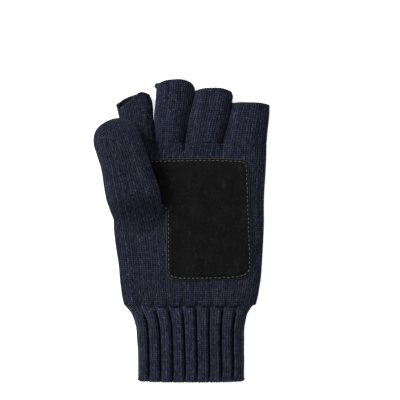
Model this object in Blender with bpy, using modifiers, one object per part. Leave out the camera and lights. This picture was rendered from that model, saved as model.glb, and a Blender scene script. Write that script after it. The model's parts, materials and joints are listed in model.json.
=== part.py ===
"""A knitted half-finger glove for the left hand, lying on its back with the palm up.

Metres, +Z up out of the palm, +Y towards the fingertips, +X towards the little finger. The origin is on the
surface that the glove lies on, under the middle of its outline. The dimensions below are in millimetres.
"""

import math

import bmesh
import bpy
from mathutils import Matrix, Vector

MM = 0.001

# Fabric and gaps
KNIT_WALL = 2.2  # plain wool jersey
RIB_WALL = 2.6  # ribbed cuff
GAP = 0.3  # room between two neighbouring pieces
FOLD_GAP = 0.35  # half the room at a fold
EDGE_ROLL = 1.5  # radius of a rolled edge
EDGE_INSET = 1.6  # the middle line of a rolled edge lies inside the fabric's skin by this much
BASE_GAP = 0.8  # room at the foot of a finger, whose wall leans

# Hand: a flat tube from the wrist to the crotches of the fingers
HAND_THICK = 15.0
HAND_POINTS = 48
WRIST_Y = -58.0
CROTCH_Y = 68.0
# y, left and right edge of the hand
HAND_OUTLINE = (
    (WRIST_Y, -44.2, 56.7),
    (-46.0, -46.9, 59.4),
    (-22.0, -49.2, 61.9),
    (2.0, -53.2, 63.4),
    (24.0, -52.6, 64.0),
    (46.0, -48.6, 65.0),
    (CROTCH_Y, -44.6, 66.2),
)

# Cuff: a ribbed tube that flares where it takes in the hand's width
CUFF_THICK = 18.0
CUFF_END_Y = -114.5
RIBS = 19
RIB_DEPTH = 1.3
RIB_SHARPNESS = 3  # a higher power makes the groove between two ribs narrower
POINTS_PER_RIB = 6
CUFF_CLEARANCE = 1.5  # the flared wall leans towards the hand
# y, left edge, right edge, thickness
CUFF_OUTLINE = (
    (CUFF_END_Y, -33.9, 48.1, CUFF_THICK),
    (-95.0, -34.2, 48.3, CUFF_THICK),
    (-76.0, -35.2, 49.3, CUFF_THICK),
    (-67.0, -38.0, 52.0, 17.2),
    (WRIST_Y - CUFF_CLEARANCE, -43.2, 55.8, HAND_THICK),
)

# Fingers: left and right corner of each tube at its base and at its mouth, how far the mouth bows out at its
# middle, and where along the tube it folds over the middle joint of the finger
FINGERS = {
    "index": {"base": (-44.4, -21.6), "mouth": ((-51.0, 96.9), (-25.9, 103.7)), "bow": 1.5, "fold": 0.73},
    "middle": {"base": (-20.2, 0.8), "mouth": ((-20.2, 110.8), (7.2, 112.0)), "bow": 3.1, "fold": 0.62},
    "ring": {"base": (2.0, 30.4), "mouth": ((10.6, 106.9), (37.0, 105.3)), "bow": 2.2, "fold": 0.58},
    "little": {"base": (31.8, 66.2), "mouth": ((40.6, 98.2), (68.5, 95.9)), "bow": 1.2, "fold": 0.52},
}
FINGER_POINTS = 28

# Palm patch and the row of stitches that holds it
PATCH_THICK = 1.2
STITCH_INSET = 1.8
THREAD_RADIUS = 0.35
# x, y and corner radius, counterclockwise from the lower left corner
PATCH_CORNERS = (
    (-12.0, -38.6, 6.0),
    (55.0, -37.2, 9.0),
    (51.6, 57.2, 6.0),
    (-30.5, 55.6, 5.0),
    (-18.5, 31.0, 20.0),
    (-12.4, 17.0, 14.0),
)
ARC_STEPS = 5

# Thumb: it lies over the palm, above the patch and its stitches
THUMB_LOW = 17.8
THUMB_THICK = 15.0
THUMB_POINTS = 32
THUMB_HOLE_CENTRE = (-31.0, 8.0)
THUMB_HOLE_HALF = (15.0, 20.0)
THUMB_ROOT = ((-59.0, 22.6), (-18.2, 33.6))  # left and right corner where the thumb folds up from the palm
THUMB_FOLD = ((-62.8, 50.0), (-27.0, 59.6))  # left and right corner at the joint of the thumb
THUMB_CROWN = ((-67.9, 64.2), (-32.1, 73.8))  # left and right corner at the widest place of the tip
THUMB_HEM = 3.0  # straight stretch below the fold
THUMB_DOME = 18.8  # how far the closed end reaches past the crown
DOME_RINGS = 4
DOME_SWEEP = math.radians(84.0)  # the last ring stands short of the pole
ROOT_RINGS = 4
ROOT_SEAM = 0.4  # room between the palm and the thumb's root
THUMB_HOLE_ROOM = 0.6  # the hole in the palm is wider than the root by this much on each side

HAND_TOP = HAND_THICK
THUMB_TOP = THUMB_LOW + THUMB_THICK


def clear_scene():
    """Removes what is in the scene, so that the glove is alone in it."""
    for old in list(bpy.data.objects):
        bpy.data.objects.remove(old, do_unlink=True)


def new_collection(name):
    """A collection under the scene's own one."""
    collection = bpy.data.collections.new(name)
    bpy.context.scene.collection.children.link(collection)
    return collection


def yarn(name, colour, roughness):
    """A Principled material of one colour."""
    material = bpy.data.materials.new(name)
    material.use_nodes = True
    shader = material.node_tree.nodes["Principled BSDF"]
    shader.inputs["Base Color"].default_value = (*colour, 1.0)
    shader.inputs["Roughness"].default_value = roughness
    shader.inputs["Metallic"].default_value = 0.0
    material.diffuse_color = (*colour, 1.0)
    return material


def flat(point):
    """A point of the outline as a vector in the plane of the palm."""
    return Vector((point[0], point[1], 0.0))


def between(a, b, t):
    """The pair of corners at the share t of the way from pair a to pair b."""
    return tuple(flat(p).lerp(flat(q), t) for p, q in zip(a, b))


def moved(pair, distance):
    """A pair of corners moved forwards, at right angles to the line between them."""
    across = (flat(pair[1]) - flat(pair[0])).normalized()
    forwards = Vector((-across.y, across.x, 0.0)) * distance
    return tuple(flat(p) + forwards for p in pair)


def oval_ring(pair, low, high, count, bow=0.0, rib_depth=0.0, inset=0.0):
    """Evenly spaced points around a flat oval with round ends, from its top middle over its right end.

    The oval stands on the line between the pair of corners, from low to high. bow pushes its middle
    forwards, rib_depth presses RIBS grooves into it and inset makes it smaller all round.
    """
    left, right = flat(pair[0]), flat(pair[1])
    across = (right - left).normalized()
    forwards = Vector((-across.y, across.x, 0.0))
    middle = (left + right) / 2 + Vector((0.0, 0.0, (low + high) / 2))
    half_width = (right - left).length / 2
    radius = (high - low) / 2
    straight = 2 * (half_width - radius)
    bend = math.pi * radius
    points = []
    for i in range(count):
        along = (2 * straight + 2 * bend) * i / count
        if along < straight / 2:
            u, turn = along, 0.0
        elif along < straight / 2 + bend:
            u, turn = straight / 2, (along - straight / 2) / radius
        elif along < 1.5 * straight + bend:
            u, turn = straight + bend - along, math.pi
        elif along < 1.5 * straight + 2 * bend:
            u, turn = -straight / 2, math.pi + (along - 1.5 * straight - bend) / radius
        else:
            u, turn = along - 2 * straight - 2 * bend, 0.0
        groove = ((1 - math.cos(2 * math.pi * RIBS * i / count)) / 2) ** RIB_SHARPNESS
        reach = radius - inset - rib_depth * groove
        offset = u + reach * math.sin(turn)
        height = reach * math.cos(turn)
        push = bow * (1 - (offset / half_width) ** 2)
        points.append(middle + across * offset + forwards * push + Vector((0.0, 0.0, height)))
    return points


def dome_rings(crown, reach, steps):
    """Rings that close a tube over its crown ring, like half an egg."""
    middle = sum(crown, Vector()) / len(crown)
    across = (crown[len(crown) // 4] - crown[3 * len(crown) // 4]).normalized()
    forwards = Vector((-across.y, across.x, 0.0))
    rings = []
    for step in range(1, steps + 1):
        angle = DOME_SWEEP * step / steps
        centre = middle + forwards * reach * math.sin(angle)
        rings.append([centre + (point - middle) * math.cos(angle) for point in crown])
    return rings


def pivot(name, point, parent=None):
    """An empty on a joint's axis, which carries the pieces that move about it."""
    empty = bpy.data.objects.new(name, None)
    empty.empty_display_size = 5 * MM
    empty.location = point * MM
    if parent:
        empty.parent = parent
        empty.location -= parent.location
    GLOVE.objects.link(empty)
    return empty


def carry(piece, parent, origin):
    """Gives the piece its origin on the axis through the parent empty."""
    piece.data.transform(Matrix.Translation(-origin * MM))
    if parent:
        piece.parent = parent


def tube(name, rings, wall, material, parent=None, origin=Vector(), closed_tip=False):
    """A knitted tube through the rings, with its wall on the inside."""
    bm = bmesh.new()
    rows = [[bm.verts.new(point * MM) for point in ring] for ring in rings]
    for near, far in zip(rows, rows[1:]):
        for i in range(len(near)):
            j = (i + 1) % len(near)
            bm.faces.new((near[i], near[j], far[j], far[i]))
    if closed_tip:
        bm.faces.new(rows[-1])
    mesh = bpy.data.meshes.new(name)
    bm.to_mesh(mesh)
    bm.free()
    mesh.shade_smooth()
    mesh.materials.append(material)
    piece = bpy.data.objects.new(name, mesh)
    GLOVE.objects.link(piece)
    solidify = piece.modifiers.new("wall", "SOLIDIFY")
    solidify.thickness = wall * MM
    solidify.offset = -1.0
    carry(piece, parent, origin)
    return piece


def cord_loop(name, points, radius, material, parent=None, origin=Vector()):
    """A closed loop of round section through the points."""
    curve = bpy.data.curves.new(name, "CURVE")
    curve.dimensions = "3D"
    curve.bevel_depth = radius * MM
    curve.bevel_resolution = 1
    spline = curve.splines.new("POLY")
    spline.points.add(len(points) - 1)
    for place, point in zip(spline.points, points):
        place.co = (*((point - origin) * MM), 1.0)
    spline.use_cyclic_u = True
    curve.materials.append(material)
    piece = bpy.data.objects.new(name, curve)
    if parent:
        piece.parent = parent
    GLOVE.objects.link(piece)
    return piece


def hand_ring(y, left, right, thick=HAND_THICK, rib_depth=0.0, count=HAND_POINTS):
    """A ring of the hand or the cuff, square to the glove's length."""
    return oval_ring(((left, y), (right, y)), 0.0, thick, count, rib_depth=rib_depth)


def thumb_hole_cutter():
    """An upright oval plug where the thumb leaves the palm."""
    half_x, half_y = (half + THUMB_HOLE_ROOM for half in THUMB_HOLE_HALF)
    bm = bmesh.new()
    bmesh.ops.create_cone(
        bm, cap_ends=True, segments=THUMB_POINTS, radius1=1.0, radius2=1.0, depth=1.0
    )
    bmesh.ops.scale(bm, vec=(half_x * MM, half_y * MM, HAND_THICK * MM), verts=bm.verts)
    mesh = bpy.data.meshes.new("thumb_hole")
    bm.to_mesh(mesh)
    bm.free()
    cutter = bpy.data.objects.new("thumb_hole", mesh)
    cutter.location = (flat(THUMB_HOLE_CENTRE) + Vector((0.0, 0.0, HAND_TOP))) * MM
    cutter.display_type = "WIRE"
    cutter.hide_render = True
    CUTTERS.objects.link(cutter)
    return cutter


def make_hand(jersey):
    """The palm and the back of the hand in one tube, with the hole that the thumb is knitted onto."""
    hand = tube("hand", [hand_ring(*row) for row in HAND_OUTLINE], KNIT_WALL, jersey)
    cut = hand.modifiers.new("thumb_hole", "BOOLEAN")
    cut.operation = "DIFFERENCE"
    cut.solver = "EXACT"
    cut.object = thumb_hole_cutter()


def make_cuff(rib, edge):
    """The ribbed cuff and its cast-on edge, on the fold at the wrist."""
    count = RIBS * POINTS_PER_RIB
    middle_x = (HAND_OUTLINE[0][1] + HAND_OUTLINE[0][2]) / 2
    origin = Vector((middle_x, WRIST_Y - GAP / 2, HAND_TOP))
    wrist = pivot("wrist_pivot", origin)
    rings = [
        hand_ring(y, left, right, thick, RIB_DEPTH, count) for y, left, right, thick in CUFF_OUTLINE
    ]
    tube("cuff", rings, RIB_WALL, rib, wrist, origin)
    y, left, right, thick = CUFF_OUTLINE[0]
    below = y - GAP - EDGE_ROLL
    roll = oval_ring(
        ((left, below), (right, below)), 0.0, thick, count, rib_depth=RIB_DEPTH, inset=EDGE_INSET
    )
    cord_loop("cuff_cast_on_edge", roll, EDGE_ROLL, edge, wrist, origin)


def make_finger(name, size, jersey, edge):
    """One half finger: the tube below its fold, the tube above it and the cast-off edge."""
    start = CROTCH_Y + BASE_GAP
    base = tuple((x, start) for x in size["base"])
    mouth = size["mouth"]
    fold = between(base, mouth, size["fold"])
    origin = (fold[0] + fold[1]) / 2 + Vector((0.0, 0.0, HAND_TOP))
    turn = pivot(f"{name}_pivot", origin)

    def ring(pair, bow):
        return oval_ring(pair, 0.0, HAND_THICK, FINGER_POINTS, bow=bow)

    half_way = between(base, fold, 0.5)
    lower = [ring(base, 0.0), ring(half_way, 0.0), ring(moved(fold, -FOLD_GAP), 0.0)]
    tube(f"{name}_finger", lower, KNIT_WALL, jersey)
    upper = [ring(moved(fold, FOLD_GAP), 0.0), ring(mouth, size["bow"])]
    tube(f"{name}_finger_end", upper, KNIT_WALL, jersey, turn, origin)
    beyond = moved(mouth, GAP + EDGE_ROLL)
    roll = oval_ring(
        beyond, 0.0, HAND_THICK, FINGER_POINTS, bow=size["bow"], inset=EDGE_INSET
    )
    cord_loop(f"{name}_cast_off_edge", roll, EDGE_ROLL, edge, turn, origin)


def root_rings():
    """Rings of the thumb's root, which leaves the hole in the palm and turns forwards into the thumb."""
    top = oval_ring(moved(THUMB_ROOT, -THUMB_HEM), THUMB_LOW, THUMB_TOP, THUMB_POINTS)
    end_ring = oval_ring(moved(THUMB_ROOT, -FOLD_GAP), THUMB_LOW, THUMB_TOP, THUMB_POINTS)
    rings = []
    for step in range(ROOT_RINGS + 1):
        t = step / ROOT_RINGS
        rise = math.sin(t * math.pi / 2)
        ring = []
        for i, end in enumerate(top):
            angle = 2 * math.pi * i / THUMB_POINTS
            start = flat(THUMB_HOLE_CENTRE) + Vector(
                (
                    THUMB_HOLE_HALF[0] * math.sin(angle),
                    -THUMB_HOLE_HALF[1] * math.cos(angle),
                    HAND_TOP + ROOT_SEAM,
                )
            )
            point = start.lerp(end, t)
            point.z = start.z + (end.z - start.z) * rise
            ring.append(point)
        rings.append(ring)
    rings.append(end_ring)
    return rings


def make_thumb(jersey):
    """The thumb's root, its tube and its closed tip."""
    tube("thumb_root", root_rings(), KNIT_WALL, jersey)

    def ring(pair):
        return oval_ring(pair, THUMB_LOW, THUMB_TOP, THUMB_POINTS)

    def top_middle(pair):
        return (flat(pair[0]) + flat(pair[1])) / 2 + Vector((0.0, 0.0, THUMB_TOP))

    root_origin = top_middle(THUMB_ROOT)
    fold_origin = top_middle(THUMB_FOLD)
    root = pivot("thumb_pivot", root_origin)
    fold = pivot("thumb_tip_pivot", fold_origin, root)
    lower = [
        ring(moved(THUMB_ROOT, FOLD_GAP)),
        ring(between(THUMB_ROOT, THUMB_FOLD, 0.5)),
        ring(moved(THUMB_FOLD, -FOLD_GAP)),
    ]
    tube("thumb", lower, KNIT_WALL, jersey, root, root_origin)
    crown = ring(THUMB_CROWN)
    upper = [ring(moved(THUMB_FOLD, FOLD_GAP)), crown, *dome_rings(crown, THUMB_DOME, DOME_RINGS)]
    tube("thumb_tip", upper, KNIT_WALL, jersey, fold, fold_origin, closed_tip=True)


def patch_outline(inset):
    """The outline of the patch with its corners rounded, moved inwards by inset."""
    points = []
    count = len(PATCH_CORNERS)
    for i, (x, y, radius) in enumerate(PATCH_CORNERS):
        corner = Vector((x, y))
        before = (Vector(PATCH_CORNERS[i - 1][:2]) - corner).normalized()
        after = (Vector(PATCH_CORNERS[(i + 1) % count][:2]) - corner).normalized()
        half_angle = before.angle(after) / 2
        centre = corner + (before + after).normalized() * radius / math.sin(half_angle)
        touch = corner + before * radius / math.tan(half_angle)
        inwards = before.x * after.y - before.y * after.x < 0
        sweep = (math.pi - 2 * half_angle) * (1 if inwards else -1)
        arm = touch - centre
        arm = arm * ((radius - inset) / radius if inwards else (radius + inset) / radius)
        for step in range(ARC_STEPS + 1):
            turned = Matrix.Rotation(sweep * step / ARC_STEPS, 2) @ arm
            points.append(centre + turned)
    return points


def make_patch(suede, thread):
    """The suede patch on the palm, and the thread that it is sewn down with."""
    low = HAND_TOP + GAP
    curve = bpy.data.curves.new("palm_patch", "CURVE")
    curve.dimensions = "2D"
    curve.fill_mode = "BOTH"
    curve.extrude = PATCH_THICK / 2 * MM
    outline = patch_outline(0.0)
    spline = curve.splines.new("POLY")
    spline.points.add(len(outline) - 1)
    for place, point in zip(spline.points, outline):
        place.co = (point.x * MM, point.y * MM, 0.0, 1.0)
    spline.use_cyclic_u = True
    curve.materials.append(suede)
    patch = bpy.data.objects.new("palm_patch", curve)
    patch.location = (0.0, 0.0, (low + PATCH_THICK / 2) * MM)
    GLOVE.objects.link(patch)

    height = low + PATCH_THICK + GAP + THREAD_RADIUS
    row = [Vector((point.x, point.y, height)) for point in patch_outline(STITCH_INSET)]
    cord_loop("patch_topstitch", row, THREAD_RADIUS, thread)


clear_scene()
GLOVE = new_collection("knitted_glove")
CUTTERS = new_collection("cutters")
JERSEY = yarn("wool_jersey", (0.016, 0.020, 0.034), 0.9)
RIB = yarn("wool_rib", (0.014, 0.018, 0.031), 0.9)
EDGE = yarn("wool_edge", (0.019, 0.023, 0.038), 0.9)
SUEDE = yarn("suede", (0.009, 0.009, 0.010), 0.85)
THREAD = yarn("sewing_thread", (0.12, 0.12, 0.12), 0.7)

make_hand(JERSEY)
make_cuff(RIB, EDGE)
for finger, finger_size in FINGERS.items():
    make_finger(finger, finger_size, JERSEY, EDGE)
make_thumb(JERSEY)
make_patch(SUEDE, THREAD)
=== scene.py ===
import json
import math

import bmesh
import bpy
import numpy as np
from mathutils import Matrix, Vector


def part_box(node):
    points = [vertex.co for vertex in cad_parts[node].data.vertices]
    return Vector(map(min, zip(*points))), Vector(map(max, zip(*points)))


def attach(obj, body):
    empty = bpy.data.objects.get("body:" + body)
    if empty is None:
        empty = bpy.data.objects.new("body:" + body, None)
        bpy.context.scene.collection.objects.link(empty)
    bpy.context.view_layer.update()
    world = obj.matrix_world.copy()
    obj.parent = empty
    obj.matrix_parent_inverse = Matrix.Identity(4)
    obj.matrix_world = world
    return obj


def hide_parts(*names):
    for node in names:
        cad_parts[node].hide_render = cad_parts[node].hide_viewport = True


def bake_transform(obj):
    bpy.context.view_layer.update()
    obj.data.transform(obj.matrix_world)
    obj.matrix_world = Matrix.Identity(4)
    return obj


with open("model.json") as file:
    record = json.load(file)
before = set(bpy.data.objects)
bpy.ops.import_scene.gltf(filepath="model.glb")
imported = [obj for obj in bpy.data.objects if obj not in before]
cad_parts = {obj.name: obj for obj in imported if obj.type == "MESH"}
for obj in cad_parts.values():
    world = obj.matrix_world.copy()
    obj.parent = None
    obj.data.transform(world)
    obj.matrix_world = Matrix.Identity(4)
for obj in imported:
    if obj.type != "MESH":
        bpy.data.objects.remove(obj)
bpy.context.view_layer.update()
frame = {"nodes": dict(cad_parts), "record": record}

MM = 0.001

# ---------------------------------------------------------------------------------------------------------
# Yarn. The glove is knitted from a fine, soft-spun wool in heathered navy: dark blue fibres with a few
# lighter and a few nearly black ones carded in, so that every stitch has its own shade and a dull halo.
# ---------------------------------------------------------------------------------------------------------
# The real wales are 1.6 mm wide. They are drawn a fifth coarser, so that they still read from a metre away.
WALE = 1.95 * MM  # width of one column of stitches
COURSE = 1.6 * MM  # height of one row of stitches


def colour(code):
    """The linear colour of an sRGB hex code."""
    parts = [int(code[i : i + 2], 16) / 255 for i in (1, 3, 5)]
    linear = [p / 12.92 if p <= 0.04045 else ((p + 0.055) / 1.055) ** 2.4 for p in parts]
    return (*linear, 1.0)


def new_material(name, code, roughness):
    """A material with one Principled shader, and its node tree."""
    material = bpy.data.materials.new(name)
    material.use_nodes = True
    shader = material.node_tree.nodes["Principled BSDF"]
    shader.inputs["Base Color"].default_value = colour(code)
    shader.inputs["Roughness"].default_value = roughness
    return material, shader


def node(material, kind, settings=None, **inputs):
    """Adds a node with its settings. Each input is set to a value or linked to another node's output."""
    made = material.node_tree.nodes.new("ShaderNode" + kind)
    for name, value in (settings or {}).items():
        setattr(made, name, value)
    for name, value in inputs.items():
        socket = made.inputs[int(name[1:])] if name[1:].isdigit() else made.inputs[name.replace("_", " ")]
        if isinstance(value, bpy.types.NodeSocket):
            material.node_tree.links.new(value, socket)
        else:
            socket.default_value = value
    return made


def maths(material, operation, a, b=0.0, c=0.0):
    """The output of one Math node."""
    return node(material, "Math", {"operation": operation}, i0=a, i1=b, i2=c).outputs[0]


def ramp(material, value, low, high, start, end):
    """The output of one Map Range node: start at the value low, end at the value high, straight between."""
    return node(material, "MapRange", i0=value, i1=low, i2=high, i3=start, i4=end).outputs[0]


def blend_colours(material, share, first, second, how="MIX"):
    """The output of one colour Mix node."""
    made = node(material, "Mix", {"data_type": "RGBA", "blend_type": how}, i0=share, i6=first, i7=second)
    return made.outputs[2]


def knitted_wool(name, base, light, dark, fleck):
    """Plain or ribbed knit of carded wool on the piece's own stitch count.

    The map named "knit" has one unit to a wale across and one to a course along, so each unit square holds
    one V of yarn. The attribute "sunk" is 1 where the light hardly gets in: between two ribs, between two
    fingers, at the bottom of a gather and inside the glove. The colour is darkened there as painted shade.
    """
    material, shader = new_material(name, base, 0.95)
    shader.inputs["Specular IOR Level"].default_value = 0.12
    shader.inputs["Sheen Weight"].default_value = 0.05
    shader.inputs["Sheen Roughness"].default_value = 0.5
    shader.inputs["Sheen Tint"].default_value = colour("#8d94ab")
    stitches = node(material, "UVMap", {"uv_map": "knit"}).outputs["UV"]
    parts = node(material, "SeparateXYZ", i0=stitches)
    across, along = parts.outputs[0], parts.outputs[1]
    # a is 0 on the middle line of a V and 1 between two wales
    side = maths(material, "ABSOLUTE", maths(material, "SUBTRACT", maths(material, "FRACT", across), 0.5))
    a = maths(material, "MULTIPLY", side, 2.0)
    slant = maths(material, "MULTIPLY_ADD", a, -0.62, along)
    leg = maths(material, "SINE", maths(material, "MULTIPLY", maths(material, "FRACT", slant), math.pi))
    round_leg = maths(material, "POWER", leg, 0.7)
    width = maths(material, "SINE", maths(material, "MULTIPLY", maths(material, "POWER", a, 0.9), math.pi))
    full_width = maths(material, "POWER", maths(material, "MAXIMUM", width, 0.0), 0.6)
    yarn = maths(material, "MULTIPLY", round_leg, full_width)
    # one shade to each leg of a stitch, and slower drifts of shade along the yarn
    leg_number = node(
        material,
        "CombineXYZ",
        i0=maths(material, "FLOOR", maths(material, "MULTIPLY", across, 2.0)),
        i1=maths(material, "FLOOR", slant),
    )
    speckle = node(material, "TexWhiteNoise", {"noise_dimensions": "2D"}, i0=leg_number.outputs[0])
    own_shade = speckle.outputs["Value"]
    drift_place = node(material, "Mapping", i0=stitches, i3=(0.5, 0.12, 1.0)).outputs[0]
    drift = node(material, "TexNoise", i0=drift_place, Scale=1.0, Detail=2.0, Roughness=0.5).outputs["Fac"]
    fibre_place = node(material, "Mapping", i0=stitches, i3=(6.0, 4.0, 1.0)).outputs[0]
    fibre = node(material, "TexNoise", i0=fibre_place, Scale=1.0, Detail=4.0, Roughness=0.7).outputs["Fac"]
    lighter = ramp(material, own_shade, 0.6, 1.0, 0.0, 0.42)
    darker = ramp(material, own_shade, 0.35, 0.0, 0.0, 0.8)
    wool = blend_colours(material, lighter, colour(base), colour(light))
    wool = blend_colours(material, darker, wool, colour(dark))
    drift_share = ramp(material, drift, 0.45, 0.7, 0.0, 0.18)
    wool = blend_colours(material, drift_share, wool, colour(light))
    fibre_share = ramp(material, fibre, 0.58, 0.76, 0.0, 0.55)
    wool = blend_colours(material, fibre_share, wool, colour(light))
    fleck_share = maths(material, "MULTIPLY", maths(material, "GREATER_THAN", own_shade, 0.982), 0.14)
    wool = blend_colours(material, fleck_share, wool, colour(fleck))
    # each wale has a strength of its own, and painted shade in the groove on each side of it
    wale_shade = node(
        material, "TexWhiteNoise", {"noise_dimensions": "1D"}, i1=maths(material, "FLOOR", across)
    ).outputs["Value"]
    wale_light = ramp(material, wale_shade, 0.0, 1.0, 0.72, 1.12)
    wool = blend_colours(material, 1.0, wool, wale_light, "MULTIPLY")
    wale_groove_painted_shade = ramp(material, a, 0.55, 1.0, 1.0, 0.08)
    wool = blend_colours(material, 1.0, wool, wale_groove_painted_shade, "MULTIPLY")
    # painted shade, where the light hardly gets in: the gaps between the legs of yarn, and the places that
    # "sunk" marks, such as the sunk purl wale between two ribs
    gap = ramp(material, yarn, 0.0, 0.7, 0.06, 1.0)
    shaded = blend_colours(material, 1.0, wool, gap, "MULTIPLY")
    sunk = node(material, "Attribute", {"attribute_name": "sunk"}).outputs["Fac"]
    open_share = maths(material, "MULTIPLY_ADD", sunk, -0.62, 1.0)
    shaded = blend_colours(material, 1.0, shaded, open_share, "MULTIPLY")
    relief = maths(material, "MULTIPLY_ADD", fibre, 0.35, yarn)
    bump = node(material, "Bump", Strength=0.8, Distance=0.4 * MM, Height=relief)
    links = material.node_tree.links
    links.new(shaded, shader.inputs["Base Color"])
    links.new(bump.outputs[0], shader.inputs["Normal"])
    # To the eye it is dull and soft: rows of small Vs with dark gaps, no two of quite the same blue.
    return material


# Matt, heathered navy: chevrons of yarn stand up from dark gaps, single stitches differ in shade, and a few
# pale hairs fleck it.
JERSEY = knitted_wool("plain_knit_wool", "#2e3345", "#535a70", "#171a27", "#868da0")
# The same wool in the rib, in colours a shade lighter than the plain knit's.
RIB = knitted_wool("ribbed_knit_wool", "#34394d", "#5c637b", "#1b1e2c", "#868da0")


# ---------------------------------------------------------------------------------------------------------
# Hand. One flat tube of plain knit, palm and back, knitted from the wrist to the crotches of the fingers.
# It lies on its back and is slightly puffed, and the rib below draws its last rows into shallow gathers.
# ---------------------------------------------------------------------------------------------------------
STEPS_PER_WALE = 4
STEPS_PER_COURSE = 2
KNIT_WALL = 1.5 * MM
INNER_STEP = 5.0 * MM  # between two rows of the skin inside a tube
# the inside of the glove is darkened as painted shade, as the light hardly gets in
INSIDE_PAINTED_SHADE = 0.7  # how dark the inside of the glove is, as "sunk"
CLEAR_OF_TABLE = 0.25 * MM
RIBS = 19
HAND_GIRTH = 247.5 * MM
FINGER_BASES = 13 * MM  # how far below the crotches the fingers' bases begin to part
GATHER_HEIGHT = 9 * MM
GATHER_DEPTH = 0.9 * MM
# the bottom of a gather is darkened as painted shade
GATHER_PAINTED_SHADE = 0.85  # how dark the bottom of a gather is, as "sunk"
BLOUSE = 1.1 * MM  # how far the fabric stands out where the rib draws it in
UP = np.array((0.0, 0.0, 1.0))


def eased(t):
    """0 below 0, 1 above 1 and a smooth step between."""
    t = np.clip(t, 0.0, 1.0)
    return t * t * (3 - 2 * t)


def cut_through(name, point, forwards):
    """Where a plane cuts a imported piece: its left and right corner, and its lowest and highest height."""
    cut = bmesh.new()
    cut.from_mesh(frame["nodes"][name].data)
    geometry = [*cut.verts, *cut.edges, *cut.faces]
    made = bmesh.ops.bisect_plane(cut, geom=geometry, plane_co=point, plane_no=forwards)
    rim = np.array([v.co[:] for v in made["geom_cut"] if isinstance(v, bmesh.types.BMVert)])
    cut.free()
    across = np.cross(forwards, UP)
    reach = (rim - point) @ across
    left, right = (np.array(point) + across * end for end in (reach.min(), reach.max()))
    return np.array((*left[:2], *right[:2], rim[:, 2].min(), rim[:, 2].max()))


def widened(station, left, right):
    """The station with its corners moved outwards by so many mm."""
    across = np.array((station[2] - station[0], station[3] - station[1]))
    across /= np.linalg.norm(across)
    return [*(station[:2] - across * left * MM), *(station[2:4] + across * right * MM), *station[4:]]


def through(stations, at):
    """Values on a smooth curve through the stations, at fractional station numbers."""
    stations = np.asarray(stations, float)
    padded = np.vstack((2 * stations[0] - stations[1], stations, 2 * stations[-1] - stations[-2]))
    i = np.clip(np.floor(at).astype(int), 0, len(stations) - 2)
    t = (at - i)[:, None]
    p0, p1, p2, p3 = padded[i], padded[i + 1], padded[i + 2], padded[i + 3]
    return p1 + 0.5 * t * (p2 - p0 + t * (2 * p0 - 5 * p1 + 4 * p2 - p3 + t * (3 * (p1 - p2) + p3 - p0)))


def even_rows(stations, rows):
    """Fractional station numbers that lie evenly along the tube's middle line."""
    fine = np.linspace(0, len(stations) - 1, 400)
    values = through(stations, fine)
    middle = np.column_stack(((values[:, 0] + values[:, 2]) / 2, (values[:, 1] + values[:, 3]) / 2))
    length = np.concatenate(([0.0], np.cumsum(np.linalg.norm(np.diff(middle, axis=0), axis=1))))
    return np.interp(np.linspace(0, length[-1], rows), length, fine), length[-1]


def oval(values, columns, top_power=3.0, base_power=3.6):
    """Points around a puffed flat oval between two corners, from its lowest middle over its left end.

    A power of 2 is an ellipse and a higher one is squarer. The points lie evenly along the outline.
    """
    left, right = np.array((*values[:2], 0.0)), np.array((*values[2:4], 0.0))
    low, high = values[4:6]
    width = np.linalg.norm(right - left)
    across = (right - left) / width
    turn = -math.pi / 2 - np.linspace(0, 2 * math.pi, 1441)
    c, s = np.cos(turn), np.sin(turn)
    power = np.where(s > 0, top_power, base_power)
    x = np.sign(c) * np.abs(c) ** (2 / power) * width / 2
    z = np.sign(s) * np.abs(s) ** (2 / power) * (high - low) / 2
    length = np.concatenate(([0.0], np.cumsum(np.hypot(np.diff(x), np.diff(z)))))
    even = np.linspace(0, length[-1], columns, endpoint=False)
    x, z = np.interp(even, length, x), np.interp(even, length, z)
    middle = (left + right) / 2 + UP * (low + high) / 2
    return middle + np.outer(x, across) + np.outer(z, UP)


def skin_normals(skin):
    """Outward directions of a tube's skin, rows by columns, and its directions along the rows."""
    round_about = np.roll(skin, -1, axis=1) - np.roll(skin, 1, axis=1)
    along = np.gradient(skin, axis=0)
    normal = np.cross(round_about, along)
    normal /= np.maximum(np.linalg.norm(normal, axis=2, keepdims=True), 1e-12)
    along /= np.maximum(np.linalg.norm(along, axis=2, keepdims=True), 1e-12)
    return normal, along


def stitch_relief(rows, columns):
    """How far the skin's points stand out or in for the stitches.

    There is a groove between two wales, then the two legs of each V and the shallow line where they meet.
    The legs slant, so they swell at different heights.
    """
    phase = np.arange(columns) % STEPS_PER_WALE
    course = np.arange(rows)[:, None] / STEPS_PER_COURSE
    height = np.array((-0.38, 0.16, 0.02, 0.16))[phase] * MM
    lag = np.array((0.62, 0.31, 0.0, 0.31))[phase]
    return height + 0.09 * MM * np.cos(2 * math.pi * (course - lag))


def loose_waves(skin, size, depth, seed):
    """Slow, shallow unevenness of hand-pressed knitwear, the same on each run."""
    place = skin / size
    value = np.zeros(skin.shape[:2])
    directions = (((1.0, 0.6, 0.4), 0.0), ((-0.7, 1.3, 0.8), 1.9), ((1.9, 1.1, -0.6), 4.1))
    for k, (direction, shift) in enumerate(directions):
        wave = place @ np.array(direction) + shift + seed * (k + 1.7)
        value += np.sin(2 * math.pi * wave) / (k + 1)
    return value * depth / 1.8


def add_mesh(name, points, faces, uvs, material):
    """A smooth-shaded mesh object at the origin with the map "knit"."""
    mesh = bpy.data.meshes.new(name)
    mesh.from_pydata(points.tolist(), [], faces.tolist())
    layer = mesh.uv_layers.new(name="knit")
    layer.data.foreach_set("uv", uvs.reshape(-1).astype(np.float32))
    mesh.materials.append(material)
    mesh.shade_smooth()
    mesh.validate()
    piece = bpy.data.objects.new(name, mesh)
    bpy.context.scene.collection.objects.link(piece)
    return piece


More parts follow.
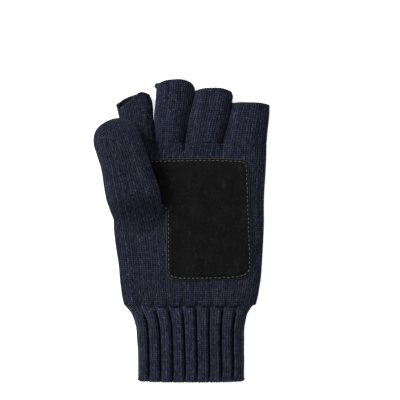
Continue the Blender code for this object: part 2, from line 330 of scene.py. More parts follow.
def knitted_tube(name, skin, material, relief=None, first=(0, 0.0), ends=("round", "round"), sunk=None):
    """A knitted tube with an outer skin, an inner skin and its two ends, as one closed mesh.

    skin holds the outer skin's points in metres, rows by columns. The inner skin has a row each 5 mm. An end
    is round where the fabric ends, flat where the next piece of fabric goes on, or closed at a tip. first is
    the number of its first wale and first course in the map.
    """
    rows, columns = skin.shape[:2]
    wall = KNIT_WALL
    normal, along = skin_normals(skin)
    relief = stitch_relief(rows, columns) if relief is None else relief
    outer = skin + normal * relief[..., None]
    row_length = np.linalg.norm(np.diff(skin.mean(axis=1), axis=0), axis=1).mean()
    inner_rows = np.unique(np.linspace(0, rows - 1, max(3, int(rows * row_length / INNER_STEP))).astype(int))
    reach = np.linalg.norm(skin - skin.mean(axis=1, keepdims=True), axis=2).min(axis=1)
    inner_rows = inner_rows[reach[inner_rows] > 2 * wall]
    inner = (skin - normal * wall)[inner_rows]
    course = first[1] + np.arange(rows) / STEPS_PER_COURSE

    def rounded_end(row, way):
        """The rows round the end of the wall, from the outer skin to the inner one."""
        centre = skin[row] - normal[row] * wall / 2
        bend = []
        for t in np.radians((45.0, 90.0, 135.0)):
            bend.append(centre + wall / 2 * (math.cos(t) * normal[row] + way * math.sin(t) * along[row]))
        return np.array(bend)

    layers, heights = [outer], [course]
    if ends[1] == "closed":
        tip = skin[-1].mean(axis=0) + along[-2].mean(axis=0) * 0.2 * MM
        under = tip - along[-2].mean(axis=0) * wall
        layers += [np.tile(point, (1, columns, 1)) for point in (tip, under)]
        heights.append(course[-1] + np.array((0.3, 0.6)))
    elif ends[1] == "round":
        layers.append(rounded_end(-1, 1.0))
        heights.append(course[-1] + np.array((0.3, 0.6, 0.9)))
    layers.append(inner[::-1])
    heights.append(course[-1] + 1.0 + (course[-1] - course[inner_rows[::-1]]))
    if ends[0] == "round":
        layers.append(rounded_end(0, -1.0)[::-1])
        heights.append(heights[-1][-1] + np.array((0.3, 0.6, 0.9)))
    points = np.concatenate(layers)
    heights = np.concatenate(heights)
    heights = np.append(heights, heights[-1] + 0.3)
    total = len(points)
    r, c = np.meshgrid(np.arange(total), np.arange(columns), indexing="ij")
    r2, c2 = (r + 1) % total, (c + 1) % columns
    faces = np.stack((r * columns + c, r * columns + c2, r2 * columns + c2, r2 * columns + c), axis=-1)
    u = first[0] + np.stack((c, c + 1, c + 1, c), axis=-1) / STEPS_PER_WALE
    v = np.stack((heights[r], heights[r], heights[r + 1], heights[r + 1]), axis=-1)
    uvs = np.stack((u, v), axis=-1)
    piece = add_mesh(name, points.reshape(-1, 3), faces.reshape(-1, 4), uvs.reshape(-1, 2), material)
    # painted shade: the inner skin and the ends get the inside's, the outer skin gets the one given as sunk
    shades = np.full(total * columns, INSIDE_PAINTED_SHADE, dtype=np.float32)
    shades[: rows * columns] = 0.0 if sunk is None else sunk.reshape(-1)
    piece.data.attributes.new("sunk", "FLOAT", "POINT").data.foreach_set("value", shades)
    if "closed" in ends:
        close_poles(piece)
    return piece


def close_poles(piece):
    """Merges the points of a closed tip that lie in one place, and drops the edges that no face uses."""
    mesh = bmesh.new()
    mesh.from_mesh(piece.data)
    bmesh.ops.remove_doubles(mesh, verts=mesh.verts, dist=1e-6)
    bmesh.ops.delete(mesh, geom=[edge for edge in mesh.edges if not edge.link_faces], context="EDGES")
    mesh.to_mesh(piece.data)
    mesh.free()


def column_count(perimeter):
    """The steps around a tube of that perimeter, in whole wales."""
    return int(round(perimeter / WALE)) * STEPS_PER_WALE


def row_count(length):
    """The steps along a tube of that length, in whole courses."""
    return int(round(length / COURSE)) * STEPS_PER_COURSE + 1


hand_low, hand_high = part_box("hand")
hand_stations = [
    cut_through("hand", (0.0, y, 0.0), (0.0, 1.0, 0.0))
    for y in np.linspace(hand_low[1] + 0.2 * MM, hand_high[1] - 0.4 * MM, 9)
]
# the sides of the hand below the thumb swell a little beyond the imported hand, in mm
HAND_SWELL = (0.2, 0.8, 0.9, 0.9, 0.6, 0.2, 0.0, 0.0, 0.0)
hand_stations = [widened(station, swell, swell) for station, swell in zip(hand_stations, HAND_SWELL)]
hand_middle_z = (hand_low[2] + hand_high[2]) / 2

FINGERS = ("index", "middle", "ring", "little")
finger_foot = {}
for finger in FINGERS:
    low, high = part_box(f"{finger}_finger")
    finger_foot[finger] = cut_through(f"{finger}_finger", (0.0, low[1] + 1.2 * MM, 0.0), (0.0, 1.0, 0.0))
crotches = [
    hand_stations[-1][0],
    *((finger_foot[a][2] + finger_foot[b][0]) / 2 for a, b in zip(FINGERS, FINGERS[1:])),
    hand_stations[-1][2],
]
CROTCH_Y = hand_high[1]
LOBE_POWER = 3.0


def lobe(x):
    """1 along the middle of a finger and 0 over a crotch, as the bases of the four fingers press the end of
    the hand into four."""
    shape = np.zeros_like(x)
    for left, right in zip(crotches, crotches[1:]):
        share = np.abs(2 * (x - left) / (right - left) - 1)
        inside = share < 1
        shape[inside] = (1 - share[inside] ** LOBE_POWER) ** (1 / LOBE_POWER)
    return shape


def rib_groove(columns, sharpness):
    """0 on the crest of a rib and 1 at the bottom of the gap between two ribs, once round the tube."""
    wave = (1 + np.cos(2 * math.pi * RIBS * np.arange(columns) / columns)) / 2
    return wave**sharpness


def hand_skin():
    """The skin of the hand, and the painted shade that darkens each of its points at the bottom of a gather.
    """
    rows = row_count(CROTCH_Y - hand_low[1])
    columns = column_count(HAND_GIRTH)
    at, _ = even_rows(hand_stations, rows)
    values = through(hand_stations, at)
    skin = np.array([oval(row, columns) for row in values])
    up = (skin[:, 0, 1] - hand_low[1]) / (CROTCH_Y - hand_low[1])
    # the fingers' bases
    share = eased((skin[..., 1] - (CROTCH_Y - FINGER_BASES)) / FINGER_BASES)
    height = skin[..., 2] - hand_middle_z
    pressed = height * (1 - share * (1 - lobe(skin[..., 0])))
    skin[..., 2] = hand_middle_z + pressed
    # gathers above the rib, which die out upwards
    normal, _ = skin_normals(skin)
    gather = eased(1 - (skin[..., 1] - hand_low[1]) / GATHER_HEIGHT) * rib_groove(columns, 2.0)
    blouse = BLOUSE * eased(1.1 - up * 9)[:, None]
    stand_out = loose_waves(skin, 55 * MM, 0.35 * MM, 0.3) + blouse - gather * GATHER_DEPTH
    skin = skin + normal * stand_out[..., None]
    skin[..., 2] = np.maximum(skin[..., 2], CLEAR_OF_TABLE)
    return skin, GATHER_PAINTED_SHADE * gather**2


hand_surface, gather_painted_shade = hand_skin()
hand = knitted_tube("hand_tube", hand_surface, JERSEY, ends=("flat", "round"), sunk=gather_painted_shade)
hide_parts("hand")
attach(hand, "hand")


def palm_height(x, y):
    """The height of the palm's skin over a point."""
    row = np.argmin(np.abs(hand_surface[:, 0, 1] - y))
    ring = hand_surface[row]
    top = ring[len(ring) // 4 : 3 * len(ring) // 4]
    return float(np.interp(x, top[:, 0], top[:, 2]))


# ---------------------------------------------------------------------------------------------------------
# Half fingers. Each is a plain tube knitted onto its share of the hand's last row and cast off at the
# middle joint of the finger. Each runs on in one piece from the hand, past the fold, to the moving end.
# The four mouths are bound off with a chain of stitches, which rolls into a firm round edge.
# ---------------------------------------------------------------------------------------------------------
FINGER_WALES = 39
# mm that all of a mouth, its middle and its right corner stand out, mm that its front lip falls back on the
# left, and the share by which the chain swells into a knot at its left corner
MOUTHS = {
    "index": (-0.2, 3.3, 2.4, 5.3, 0.2),
    "middle": (0.0, 3.6, 0.0, 0.5, 1.1),
    "ring": (0.7, 2.3, 0.3, 0.5, 0.2),
    "little": (1.0, 0.9, -0.5, 0.4, 0.2),
}
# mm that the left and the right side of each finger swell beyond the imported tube, from its foot to its mouth
SIDE_SWELL = {
    "index": ((0.0, 0.0, 0.0, 0.0, 0.0, 0.0), (0.5, 1.2, 2.0, 2.3, 2.1, 1.5)),
    "middle": ((0.8, 1.6, 1.3, 0.9, 0.2, 0.0), (0.4, 1.4, 2.4, 2.8, 2.9, 1.9)),
    "ring": ((0.5, 1.3, 1.4, 1.1, 0.9, 0.4), (0.6, 2.3, 3.2, 3.4, 3.1, 2.3)),
    "little": ((0.8, 1.0, 1.1, 1.1, 0.9, 0.6), (0.0, 0.0, 0.0, 0.0, 0.0, 0.0)),
}
EDGE_RADIUS = 1.05 * MM
KNOT_REACH = 1.9 * MM
FOOT_TUCK = 1.1 * MM  # how far the first rows sink into the hand
# the sides between two fingers are darkened as painted shade
CREASE_PAINTED_SHADE = 0.75  # how dark the sides are between two fingers, as "sunk"
CREASE_REACH = 24 * MM
joints = {joint["name"]: joint for joint in frame["record"]["behaviour"]["joints"]}


def fold_of(name):
    """A fold's point, the direction across the finger and the direction towards its tip."""
    point = np.array(joints[name]["pos_m"], float)
    across = np.array(joints[name]["axis"], float)
    return point, across, np.cross(UP, across)


def furthest(name, point, forwards):
    """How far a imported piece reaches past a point."""
    return max((np.array(v.co) - point) @ forwards for v in frame["nodes"][name].data.vertices)


def bound_edge(name, ring, body, radius=EDGE_RADIUS, pitch=WALE, knot=0.0):
    """The chain of a bound edge: a roll along the ring, with a knot at its left corner. Its stitches lie
    aslant like a rope's strands."""
    steps = 4
    length = np.linalg.norm(np.roll(ring, -1, axis=0) - ring, axis=1)
    total = length.sum()
    stitches = int(round(total / pitch))
    at = np.linspace(0, total, stitches * steps, endpoint=False)
    known = np.concatenate(([0.0], np.cumsum(length)))
    closed = np.vstack((ring, ring[:1]))
    path = np.column_stack([np.interp(at, known, closed[:, k]) for k in range(3)])
    tangent = np.roll(path, -1, axis=0) - np.roll(path, 1, axis=0)
    tangent /= np.linalg.norm(tangent, axis=1, keepdims=True)
    outwards = path - path.mean(axis=0)
    outwards -= (outwards * tangent).sum(axis=1, keepdims=True) * tangent
    outwards /= np.linalg.norm(outwards, axis=1, keepdims=True)
    third = np.cross(tangent, outwards)
    around = 10
    turn = np.linspace(0, 2 * math.pi, around, endpoint=False)
    strand = 2 * math.pi * np.arange(len(path))[:, None] / steps - turn
    from_corner = np.linalg.norm(path - path[np.argmin(path[:, 0])], axis=1)[:, None]
    size = radius * (1 + 0.2 * np.cos(strand)) * (1 + knot * np.exp(-((from_corner / KNOT_REACH) ** 2)))
    points = path[:, None] + size[..., None] * (
        np.cos(turn)[None, :, None] * outwards[:, None] + np.sin(turn)[None, :, None] * third[:, None]
    )
    r, c = np.meshgrid(np.arange(len(path)), np.arange(around), indexing="ij")
    r2, c2 = (r + 1) % len(path), (c + 1) % around
    faces = np.stack((r * around + c, r * around + c2, r2 * around + c2, r2 * around + c), axis=-1)
    u = np.stack((r, r, r + 1, r + 1), axis=-1) / steps
    v = np.stack((c, c + 1, c + 1, c), axis=-1) / around * 2 + u
    uvs = np.stack((u, v), axis=-1)
    edge = add_mesh(name, points.reshape(-1, 3), faces.reshape(-1, 4), uvs.reshape(-1, 2), JERSEY)
    outside_up(edge)
    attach(edge, body)
    return edge


def outside_up(piece):
    """Turns a closed mesh's faces outwards."""
    mesh = bmesh.new()
    mesh.from_mesh(piece.data)
    bmesh.ops.recalc_face_normals(mesh, faces=mesh.faces)
    mesh.to_mesh(piece.data)
    mesh.free()


for number, finger in enumerate(FINGERS):
    point, across, forwards = fold_of(f"{finger}_bend")
    end = f"{finger}_finger_end"
    reach = furthest(end, point, forwards)
    foot = list(finger_foot[finger])
    foot[0], foot[2] = crotches[number] + 0.2 * MM, crotches[number + 1] - 0.2 * MM
    foot[1] = foot[3] = CROTCH_Y - 2.5 * MM
    stations = [foot]
    for distance in (-8.0 * MM, -1.5 * MM, 3.0 * MM, reach - 4.5 * MM):
        packed = f"{finger}_finger" if distance < 0 else end
        stations.append(cut_through(packed, point + forwards * distance, forwards))
    mouth = np.array(stations[-1])
    mouth[:4] += np.tile(forwards[:2], 2) * 3.2 * MM
    stations.append(mouth)
    stations = [widened(*sizes) for sizes in zip(stations, *SIDE_SWELL[finger])]
    _, length = even_rows(stations, 2)
    rows = row_count(length)
    at, _ = even_rows(stations, rows)
    values = through(stations, at)
    columns = FINGER_WALES * STEPS_PER_WALE
    skin = np.array([oval(row, columns, 2.05, 3.2) for row in values])
    half_width = np.linalg.norm(values[:, 2:4] - values[:, 0:2], axis=1)[:, None] / 2
    offset = ((skin - skin.mean(axis=1, keepdims=True)) @ across) / half_width
    rise, bow, tilt, fall, knot = MOUTHS[finger]
    near_mouth = eased(np.linspace(-0.9, 1.0, rows))[:, None]
    front = eased((skin[..., 2] - hand_middle_z) / (4 * MM) + 0.5) * eased(0.7 - 1.2 * offset)
    push = rise + bow * (1 - np.abs(offset) ** 2.6) + tilt * eased((offset + 1) / 2) - fall * front
    skin += forwards * (push * near_mouth * MM)[..., None]
    normal, _ = skin_normals(skin)
    tuck = FOOT_TUCK * eased(1 - np.arange(rows) / 5)[:, None]
    skin = skin + normal * (loose_waves(skin, 24 * MM, 0.3 * MM, number) - tuck)[..., None]
    skin[..., 2] = np.maximum(skin[..., 2], CLEAR_OF_TABLE)
    # painted shade low down on the sides that face the next finger, where the light hardly reaches
    beside = eased((np.abs(offset) - 0.6) / 0.36) * np.where(offset < 0, number > 0, number < 3)
    low_down = eased(1 - np.arange(rows) * COURSE / STEPS_PER_COURSE / CREASE_REACH)[:, None]
    crease_painted_shade = CREASE_PAINTED_SHADE * beside * low_down
    first = (FINGER_WALES * (number + 5), 0.0)
    tube = knitted_tube(f"{finger}_finger_tube", skin, JERSEY, first=first, sunk=crease_painted_shade)
    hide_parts(f"{finger}_finger", end)
    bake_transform(tube)
    normal, along = skin_normals(skin)
    ring = skin[-1] - normal[-1] * KNIT_WALL / 2 + along[-1] * 0.7 * MM
    edge = bound_edge(f"{finger}_bound_edge", ring, finger, knot=knot)
    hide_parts(f"{finger}_cast_off_edge")


# ---------------------------------------------------------------------------------------------------------
# Thumb. A closed tube of plain knit that is picked up round a hole in the palm and narrowed to a rounded
# tip. It lies over the palm and the foot of the index finger. It is made in two lengths that meet between
# the thumb's two folds, so that each length crosses one fold.
# ---------------------------------------------------------------------------------------------------------
THUMB_WALES = 51
FOOT_HALF = (19.5 * MM, 18.0 * MM)
FOOT_MIDDLE = (-31.8 * MM, 3.0 * MM)
ROOT_LENGTH = 46 * MM  # of fabric, from the palm to the first row of the tube
DOME_LENGTH = 28 * MM  # of fabric, over the rounded tip
DOME_REACH = 17.8 * MM
DOME_POWER = 0.74  # below 1, which makes the tip blunter than a ball
SEAM_SHARE = 0.36  # of the tube's rows lie below the meeting of the two lengths

root_point, _, root_forwards = fold_of("thumb_lift")
bend_point, _, bend_forwards = fold_of("thumb_bend")
columns = THUMB_WALES * STEPS_PER_WALE


def thumb_foot():
    """The ring where the thumb is picked up, just under the palm's skin, from the crotch over its left."""
    angle = 2 * math.pi * np.arange(columns) / columns
    x = FOOT_MIDDLE[0] - FOOT_HALF[0] * np.sin(angle)
    y = FOOT_MIDDLE[1] + FOOT_HALF[1] * np.cos(angle)
    z = np.array([palm_height(*place) for place in zip(x, y)]) - 1.3 * MM
    return np.column_stack((x, y, z))


def thumb_skin():
    """The thumb's skin from the palm to the tip, and the row where its two lengths meet."""
    cuts = [("thumb", root_point, root_forwards, distance * MM) for distance in (1.0, 12.0)]
    cuts.append(("thumb", bend_point, bend_forwards, -1.5 * MM))
    cuts += [("thumb_tip", bend_point, bend_forwards, distance * MM) for distance in (4.0, 14.4)]
    stations = []
    for packed, point, forwards, distance in cuts:
        stations.append(widened(cut_through(packed, point + forwards * distance, forwards), -0.9, 0.2))
    _, length = even_rows(stations, 2)
    rows = row_count(length)
    at, _ = even_rows(stations, rows)
    tube_rows = np.array([oval(row, columns, 2.3, 2.7) for row in through(stations, at)])
    foot, first = thumb_foot(), tube_rows[0]
    root_rows = row_count(ROOT_LENGTH)
    t = np.linspace(0.0, 1.0, root_rows)[:-1, None]
    root = foot + (first - foot) * t[..., None]
    root[..., 2] = foot[:, 2] + (first[:, 2] - foot[:, 2]) * eased(t * 0.5 + t * t * 0.5)
    crown = tube_rows[-1]
    middle_point = crown.mean(axis=0)
    dome_rows = row_count(DOME_LENGTH)
    angle = np.radians(np.linspace(0.0, 88.5, dome_rows))[1:, None, None]
    rise, shrink = np.sin(angle), np.cos(angle) ** DOME_POWER
    dome = middle_point + bend_forwards * DOME_REACH * rise + (crown - middle_point) * shrink
    return np.concatenate((root, tube_rows, dome)), len(root) + int(rows * SEAM_SHARE)


skin, seam_row = thumb_skin()
normal, _ = skin_normals(skin)
skin = skin + normal * loose_waves(skin, 30 * MM, 0.5 * MM, 7.0)[..., None]
girth = np.linalg.norm(np.roll(skin, -1, axis=1) - skin, axis=2).sum(axis=1)
relief = stitch_relief(*skin.shape[:2]) * np.minimum(girth / girth[seam_row], 1.0)[:, None]
lengths = {
    "thumb_lower_tube": (slice(0, seam_row + 1), ("round", "flat"), ("thumb_root", "thumb")),
    "thumb_tip_tube": (slice(seam_row, None), ("flat", "closed"), ("thumb_tip",)),
}
folds = {
    "thumb_lower_tube": ("hand", "thumb", root_point, root_forwards, 9.0, 5.0),
    "thumb_tip_tube": ("thumb", "thumb_tip", bend_point, bend_forwards, 7.0, 7.0),
}
for name, (rows, ends, packed) in lengths.items():
    first = (FINGER_WALES * 10, (rows.start or 0) / STEPS_PER_COURSE)
    tube = knitted_tube(name, skin[rows], JERSEY, relief=relief[rows], first=first, ends=ends)
    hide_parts(*packed)
    still, moving, point, forwards, before, after = folds[name]
    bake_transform(tube)


# ---------------------------------------------------------------------------------------------------------
# Cuff. A deep rib, knitted straight on from the hand: four wales stand up as a round rib, and the purl wale
# between two ribs sinks out of sight. The rib draws the fabric in to the wrist. Its cast-on edge is a firm
# chain that follows the ribs.
# ---------------------------------------------------------------------------------------------------------
GROOVE_DEPTH = 4.0 * MM
GROOVE_SHARPNESS = 9.0
CREST = 0.5 * MM
WALES_PER_RIB = 5
HALF_WRIST = 46 * MM
LATE_START = 0.7 * MM  # how much lower than the next one a groove may begin
GROOVE_RUN = 4.5 * MM  # over which a groove reaches its depth
MERGE = 8 * MM  # over which the rib runs out into the hand

cuff_low, cuff_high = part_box("cuff")
cuff_ys = [cuff_low[1] - 0.9 * MM, *np.linspace(cuff_low[1] + 12 * MM, cuff_high[1] - 1.4 * MM, 6)]
cuff_stations = []
for y in cuff_ys:
    within = max(y, cuff_low[1] + 0.3 * MM)
    cuff_stations.append(cut_through("cuff", (0.0, within, 0.0), (0.0, 1.0, 0.0)))
cuff_stations[0][1] = cuff_stations[0][3] = cuff_ys[0]
# the rib draws in sooner on the little finger's side, in mm
CUFF_DRAW = (0.0, 0.0, 0.4, 0.8, 1.2, 1.9, 1.6)
cuff_stations = [widened(station, 0.0, -draw) for station, draw in zip(cuff_stations, CUFF_DRAW)]
top = list(hand_stations[0])
top[1] = top[3] = hand_surface[0, 0, 1]
cuff_stations.append(top)
columns = RIBS * WALES_PER_RIB * STEPS_PER_WALE
_, length = even_rows(cuff_stations, 2)
rows = row_count(length)
at, _ = even_rows(cuff_stations, rows)
skin = np.array([oval(row, columns, 2.8, 3.4) for row in through(cuff_stations, at)])
normal, _ = skin_normals(skin)
from_top = hand_surface[0, 0, 1] - skin[..., 1]
side = np.abs(skin[..., 0] - skin[..., 0].mean()) / HALF_WRIST
turn = 2 * math.pi * np.arange(columns) / columns
late = LATE_START * (1.0 + np.sin(7 * turn) + 0.7 * np.cos(4 * turn))
depth = eased((from_top - late - 4 * MM * side**2) / (GROOVE_RUN + 3 * MM * side**2))
flat_edge = 1 - 0.5 * eased(1 - (skin[..., 1] - skin[0, 0, 1]) / (6 * MM))
# sunk is how deep each groove lies, and it also darkens the rib there as painted shade
sunk = rib_groove(columns, GROOVE_SHARPNESS) * depth * flat_edge
ribs = CREST * depth - (GROOVE_DEPTH + CREST) * sunk
skin = skin + normal * (ribs + depth * loose_waves(skin, 40 * MM, 0.25 * MM, 3.0))[..., None]
# the last rows run out into the hand's first row
hand_share = np.arange(hand_surface.shape[1] + 1) / hand_surface.shape[1]
hand_ring = np.vstack((hand_surface[0], hand_surface[0, :1]))
share = np.arange(columns) / columns
first_row = np.column_stack([np.interp(share, hand_share, hand_ring[:, k]) for k in range(3)])
skin += (first_row - skin[-1]) * eased(1 - from_top[..., None] / MERGE)
skin[..., 2] = np.maximum(skin[..., 2], CLEAR_OF_TABLE)
tube = knitted_tube("cuff_tube", skin, RIB, ends=("round", "flat"), sunk=sunk)
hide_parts("cuff")
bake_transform(tube)
normal, along = skin_normals(skin)
ring = skin[0] - normal[0] * KNIT_WALL / 2 - along[0] * 0.8 * MM
edge = bound_edge("cuff_bound_edge", ring, "cuff", radius=1.2 * MM, pitch=1.9 * MM)
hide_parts("cuff_cast_on_edge")


# ---------------------------------------------------------------------------------------------------------
# Palm patch. One piece of black split suede, 1.1 mm thick, cut with round corners and laid on the palm.
# It follows the palm, its cut edge shows paler, and its nap is brushed into soft light and dark.
# ---------------------------------------------------------------------------------------------------------
SUEDE_THICK = 1.1 * MM
STITCH_INSET = 1.8 * MM
UNDER_THUMB = 3.6 * MM  # how much further the edge lies under the thumb's root
TOP_DROP = 1.4 * MM  # how much lower the top edge ends on its right
FOOT_BOW = 0.5 * MM  # how much lower the middle of the lower edge lies
FOOT_ROUND = 2.6 * MM  # how much higher its corners are cut
OUTLINE_POINTS = 300
RINGS_INWARDS = 26


def suede():
    """Black split suede: a dull, light-drinking nap with cloudy brushed marks, a fine grit and a few scuffs
    where it has rubbed, and no gloss."""
    material, shader = new_material("black_split_suede", "#111112", 0.95)
    shader.inputs["Specular IOR Level"].default_value = 0.08
    shader.inputs["Sheen Weight"].default_value = 0.03
    shader.inputs["Sheen Roughness"].default_value = 0.6
    place = node(material, "TexCoord").outputs["Object"]
    clouds = node(material, "TexNoise", i0=place, Scale=70.0, Detail=4.0, Roughness=0.6, Distortion=0.6)
    grit = node(material, "TexNoise", i0=place, Scale=1400.0, Detail=3.0, Roughness=0.7)
    brushed_place = node(material, "Mapping", i0=place, i3=(260.0, 90.0, 1.0)).outputs[0]
    brushed = node(material, "TexNoise", i0=brushed_place, Scale=1.0, Detail=4.0, Roughness=0.65)
    cloud_share = ramp(material, clouds.outputs["Fac"], 0.4, 0.7, 0.0, 0.6)
    shade = blend_colours(material, cloud_share, colour("#090909"), colour("#151517"))
    brushed_share = ramp(material, brushed.outputs["Fac"], 0.55, 0.8, 0.0, 0.7)
    shade = blend_colours(material, brushed_share, shade, colour("#272627"))
    grit_share = ramp(material, grit.outputs["Fac"], 0.56, 0.72, 0.0, 0.8)
    shade = blend_colours(material, grit_share, shade, colour("#343336"))
    cut_edge = node(material, "Attribute", {"attribute_name": "cut_edge"}).outputs["Fac"]
    shade = blend_colours(material, cut_edge, shade, colour("#56514b"))
    relief = maths(material, "MULTIPLY_ADD", clouds.outputs["Fac"], 0.6, grit.outputs["Fac"])
    bump = node(material, "Bump", Strength=0.5, Distance=0.25 * MM, Height=relief)
    material.node_tree.links.new(shade, shader.inputs["Base Color"])
    material.node_tree.links.new(bump.outputs[0], shader.inputs["Normal"])
    # To the eye it is nearly black and flat, with faint clouds, and a thin brownish line round its edge.
    return material


def patch_outline():
    """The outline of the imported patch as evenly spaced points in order, and its middle."""
    low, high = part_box("palm_patch")
    mesh = frame["nodes"]["palm_patch"].data
    places = {(round(v.co.x, 6), round(v.co.y, 6)) for v in mesh.vertices if v.co.z > (low[2] + high[2]) / 2}
    middle = np.array(((low[0] + high[0]) / 2 + 4 * MM, (low[1] + high[1]) / 2))
    ring = np.array(sorted(places, key=lambda p: math.atan2(p[1] - middle[1], p[0] - middle[0])))
    closed = np.vstack((ring, ring[:1]))
    known = np.concatenate(([0.0], np.cumsum(np.linalg.norm(np.diff(closed, axis=0), axis=1))))
    at = np.linspace(0, known[-1], OUTLINE_POINTS, endpoint=False)
    even = np.column_stack([np.interp(at, known, closed[:, k]) for k in range(2)])
    # beside the thumb's root the edge runs on into the thumb's seam
    above = eased((even[:, 1] - 15 * MM) / (5 * MM))
    below = eased((40 * MM - even[:, 1]) / (8 * MM))
    even[:, 0] -= UNDER_THUMB * ((even[:, 0] < -8 * MM) * above * below)
    at_top = eased((even[:, 1] - 44 * MM) / (8 * MM))
    even[:, 1] -= at_top * (TOP_DROP * eased((even[:, 0] - 18 * MM) / (34 * MM)))
    # the lower edge bows down and its corners are cut rounder
    at_foot = eased((-27 * MM - even[:, 1]) / (11 * MM))
    from_middle = np.abs(even[:, 0] - 21 * MM) / (34 * MM)
    even[:, 1] += at_foot * (FOOT_ROUND * from_middle**4 - FOOT_BOW)
    return even, middle


def inset(outline, distance):
    """The outline moved inwards."""
    tangent = np.roll(outline, -2, axis=0) - np.roll(outline, 2, axis=0)
    tangent /= np.linalg.norm(tangent, axis=1, keepdims=True)
    return outline + np.column_stack((-tangent[:, 1], tangent[:, 0])) * distance


outline, patch_middle = patch_outline()
count = len(outline)


def on_palm(places, lift):
    """Points at a height above the palm's skin."""
    return np.array([(x, y, palm_height(x, y) + lift) for x, y in places])


rings = [
    on_palm(inset(outline, 0.5 * MM), 0.1 * MM),
    on_palm(outline, 0.25 * MM),
    on_palm(outline, SUEDE_THICK * 0.75),
    on_palm(inset(outline, 0.4 * MM), SUEDE_THICK),
    on_palm(inset(outline, 1.1 * MM), SUEDE_THICK * 0.95),
    on_palm(inset(outline, STITCH_INSET), SUEDE_THICK * 0.6),
    on_palm(inset(outline, 2.5 * MM), SUEDE_THICK * 0.95),
]
inner_edge = inset(outline, 3.2 * MM)
for share in np.linspace(0.0, 0.97, RINGS_INWARDS):
    rings.append(on_palm(inner_edge + (patch_middle - inner_edge) * share, SUEDE_THICK * 1.05))
points = np.concatenate(rings)
points = np.vstack((points, on_palm([patch_middle], SUEDE_THICK * 1.05), on_palm([patch_middle], 0.1 * MM)))
total = len(rings)
faces = []
for r in range(total - 1):
    for c in range(count):
        d = (c + 1) % count
        faces.append((r * count + c, r * count + d, (r + 1) * count + d, (r + 1) * count + c))
crown, under = total * count, total * count + 1
for c in range(count):
    d = (c + 1) % count
    faces.append(((total - 1) * count + c, (total - 1) * count + d, crown))
    faces.append((d, c, under))
mesh = bpy.data.meshes.new("suede_patch")
mesh.from_pydata(points.tolist(), [], faces)
cut_edge = np.zeros(len(points), dtype=np.float32)
cut_edge[count : 3 * count] = 1.0
mesh.attributes.new("cut_edge", "FLOAT", "POINT").data.foreach_set("value", cut_edge)
mesh.materials.append(suede())
mesh.shade_smooth()
patch = bpy.data.objects.new("suede_patch", mesh)
bpy.context.scene.collection.objects.link(patch)
outside_up(patch)
ahead = np.roll(outline, -1, axis=0)
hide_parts("palm_patch")
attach(patch, "hand")


# ---------------------------------------------------------------------------------------------------------
# Topstitch. A row of single lockstitches in grey sewing thread, 1.8 mm inside the patch's edge. Each one
# is a short, plump loop that sinks into the suede at both of its ends.
# ---------------------------------------------------------------------------------------------------------
STITCH_PITCH = 3.4 * MM
STITCH_LENGTH = 2.5 * MM
THREAD_RADIUS = 0.3 * MM
STITCH_RISE = 0.45 * MM  # of a stitch's middle above its ends
STITCH_SUNK = 0.15 * MM  # of its ends below the suede
STITCH_STRAY = 0.14 * MM  # of a stitch off the line


def sewing_thread():
    """Grey spun sewing thread: a soft twist with a faint gloss and fine light and dark turns."""
    material, shader = new_material("grey_sewing_thread", "#5a5a58", 0.7)
    place = node(material, "UVMap", {"uv_map": "knit"}).outputs["UV"]
    twist = node(material, "TexWave", i0=place, Scale=1.6, Distortion=1.0)
    share = ramp(material, twist.outputs["Fac"], 0.2, 0.8, 0.0, 1.0)
    shade = blend_colours(material, share, colour("#3d3d3d"), colour("#72726f"))
    bump = node(material, "Bump", Strength=0.5, Distance=0.1 * MM, Height=twist.outputs["Fac"])
    material.node_tree.links.new(shade, shader.inputs["Base Color"])
    material.node_tree.links.new(bump.outputs[0], shader.inputs["Normal"])
    # To the eye it is a broken, uneven grey line.
    return material


row = inset(outline, STITCH_INSET)
closed = np.vstack((row, row[:1]))
known = np.concatenate(([0.0], np.cumsum(np.linalg.norm(np.diff(closed, axis=0), axis=1))))
stitch_count = int(round(known[-1] / STITCH_PITCH))
around, slices = 8, 7
points, faces, uvs = [], [], []
for k in range(stitch_count):
    start = known[-1] * k / stitch_count
    at = start + np.linspace(0, STITCH_LENGTH * (1 + 0.12 * math.sin(k * 2.4)), slices)
    line = np.column_stack([np.interp(at, known, closed[:, n]) for n in range(2)])
    line += STITCH_STRAY * np.array((math.sin(k * 1.7), math.cos(k * 2.9)))
    arch = np.sin(np.linspace(0, math.pi, slices))
    spine = on_palm(line, SUEDE_THICK * 0.6)
    spine[:, 2] += arch * STITCH_RISE - STITCH_SUNK
    ahead = np.gradient(spine, axis=0)
    ahead /= np.linalg.norm(ahead, axis=1, keepdims=True)
    aside = np.cross(ahead, UP)
    above = np.cross(aside, ahead)
    first = len(points)
    for n in range(slices):
        thick = THREAD_RADIUS * (0.45 + 0.55 * arch[n])
        for m in range(around):
            turn = 2 * math.pi * m / around
            points.append(spine[n] + thick * (math.cos(turn) * aside[n] + math.sin(turn) * above[n]))
    for n in range(slices - 1):
        for m in range(around):
            o = (m + 1) % around
            low, high = first + n * around, first + (n + 1) * around
            faces.append([low + m, low + o, high + o, high + m])
            uvs += [(n, m / around), (n, (m + 1) / around), (n + 1, (m + 1) / around), (n + 1, m / around)]
    for n, order in ((0, range(around)), (slices - 1, range(around - 1, -1, -1))):
        faces.append([first + n * around + m for m in order])
        uvs += [(n, 0.0)] * around
mesh = bpy.data.meshes.new("patch_stitches")
mesh.from_pydata([tuple(p) for p in points], [], faces)
layer = mesh.uv_layers.new(name="knit")
layer.data.foreach_set("uv", np.array(uvs, dtype=np.float32).reshape(-1))
mesh.materials.append(sewing_thread())
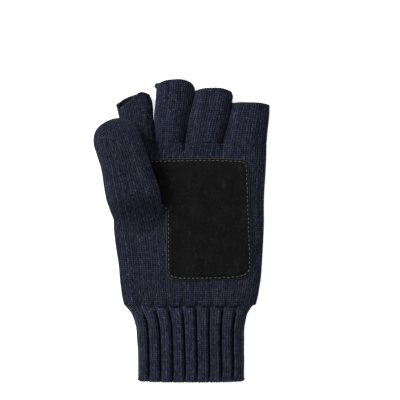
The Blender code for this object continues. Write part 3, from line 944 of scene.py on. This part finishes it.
mesh.shade_smooth()
stitches = bpy.data.objects.new("patch_stitches", mesh)
bpy.context.scene.collection.objects.link(stitches)
outside_up(stitches)
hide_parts("patch_topstitch")
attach(stitches, "hand")


# ---------------------------------------------------------------------------------------------------------
# Studio. The glove lies palm up on a sheet of opal plastic that is lit from below, so it casts hardly any
# shadow. A strong soft lamp stands low at the upper left, a weak one at the lower right, and the camera
# looks straight down.
# ---------------------------------------------------------------------------------------------------------
TABLE_SIZE = 6.0
CAMERA_HEIGHT = 0.8787
scene = bpy.context.scene
scene.view_settings.view_transform = "Standard"

bpy.ops.object.select_all(action="DESELECT")
bpy.ops.mesh.primitive_plane_add(size=TABLE_SIZE, location=(0.0, 0.0, -0.2 * MM))
floor = bpy.context.object
floor.name = "light_table"
opal, opal_shader = new_material("lit_opal_sheet", "#f4f4f4", 0.95)
opal_shader.inputs["Emission Color"].default_value = (1.0, 1.0, 1.0, 1.0)
opal_shader.inputs["Emission Strength"].default_value = 0.75
# To the eye it is an even white with no edge and no grain.
floor.data.materials.append(opal)

world = bpy.data.worlds.new("soft_light")
world.use_nodes = True
world.node_tree.nodes["Background"].inputs[0].default_value = (1.0, 1.0, 1.0, 1.0)
world.node_tree.nodes["Background"].inputs[1].default_value = 0.33
scene.world = world


def soft_light(name, place, size, power):
    """A square lamp that faces the glove."""
    lamp = bpy.data.lights.new(name, "AREA")
    lamp.size = size
    lamp.energy = power
    holder = bpy.data.objects.new(name, lamp)
    holder.location = place
    aim = -holder.location
    holder.rotation_euler = aim.to_track_quat("-Z", "Y").to_euler()
    scene.collection.objects.link(holder)


soft_light("key", (-0.95, 0.6, 0.8), 0.6, 21.0)
soft_light("fill", (0.8, -0.5, 1.3), 1.2, 3.0)

camera_data = bpy.data.cameras.new("camera")
camera_data.lens = 100.0
camera_data.sensor_width = 36.0
camera = bpy.data.objects.new("camera", camera_data)
camera.location = (0.014, 0.024, CAMERA_HEIGHT)
scene.collection.objects.link(camera)
scene.camera = camera
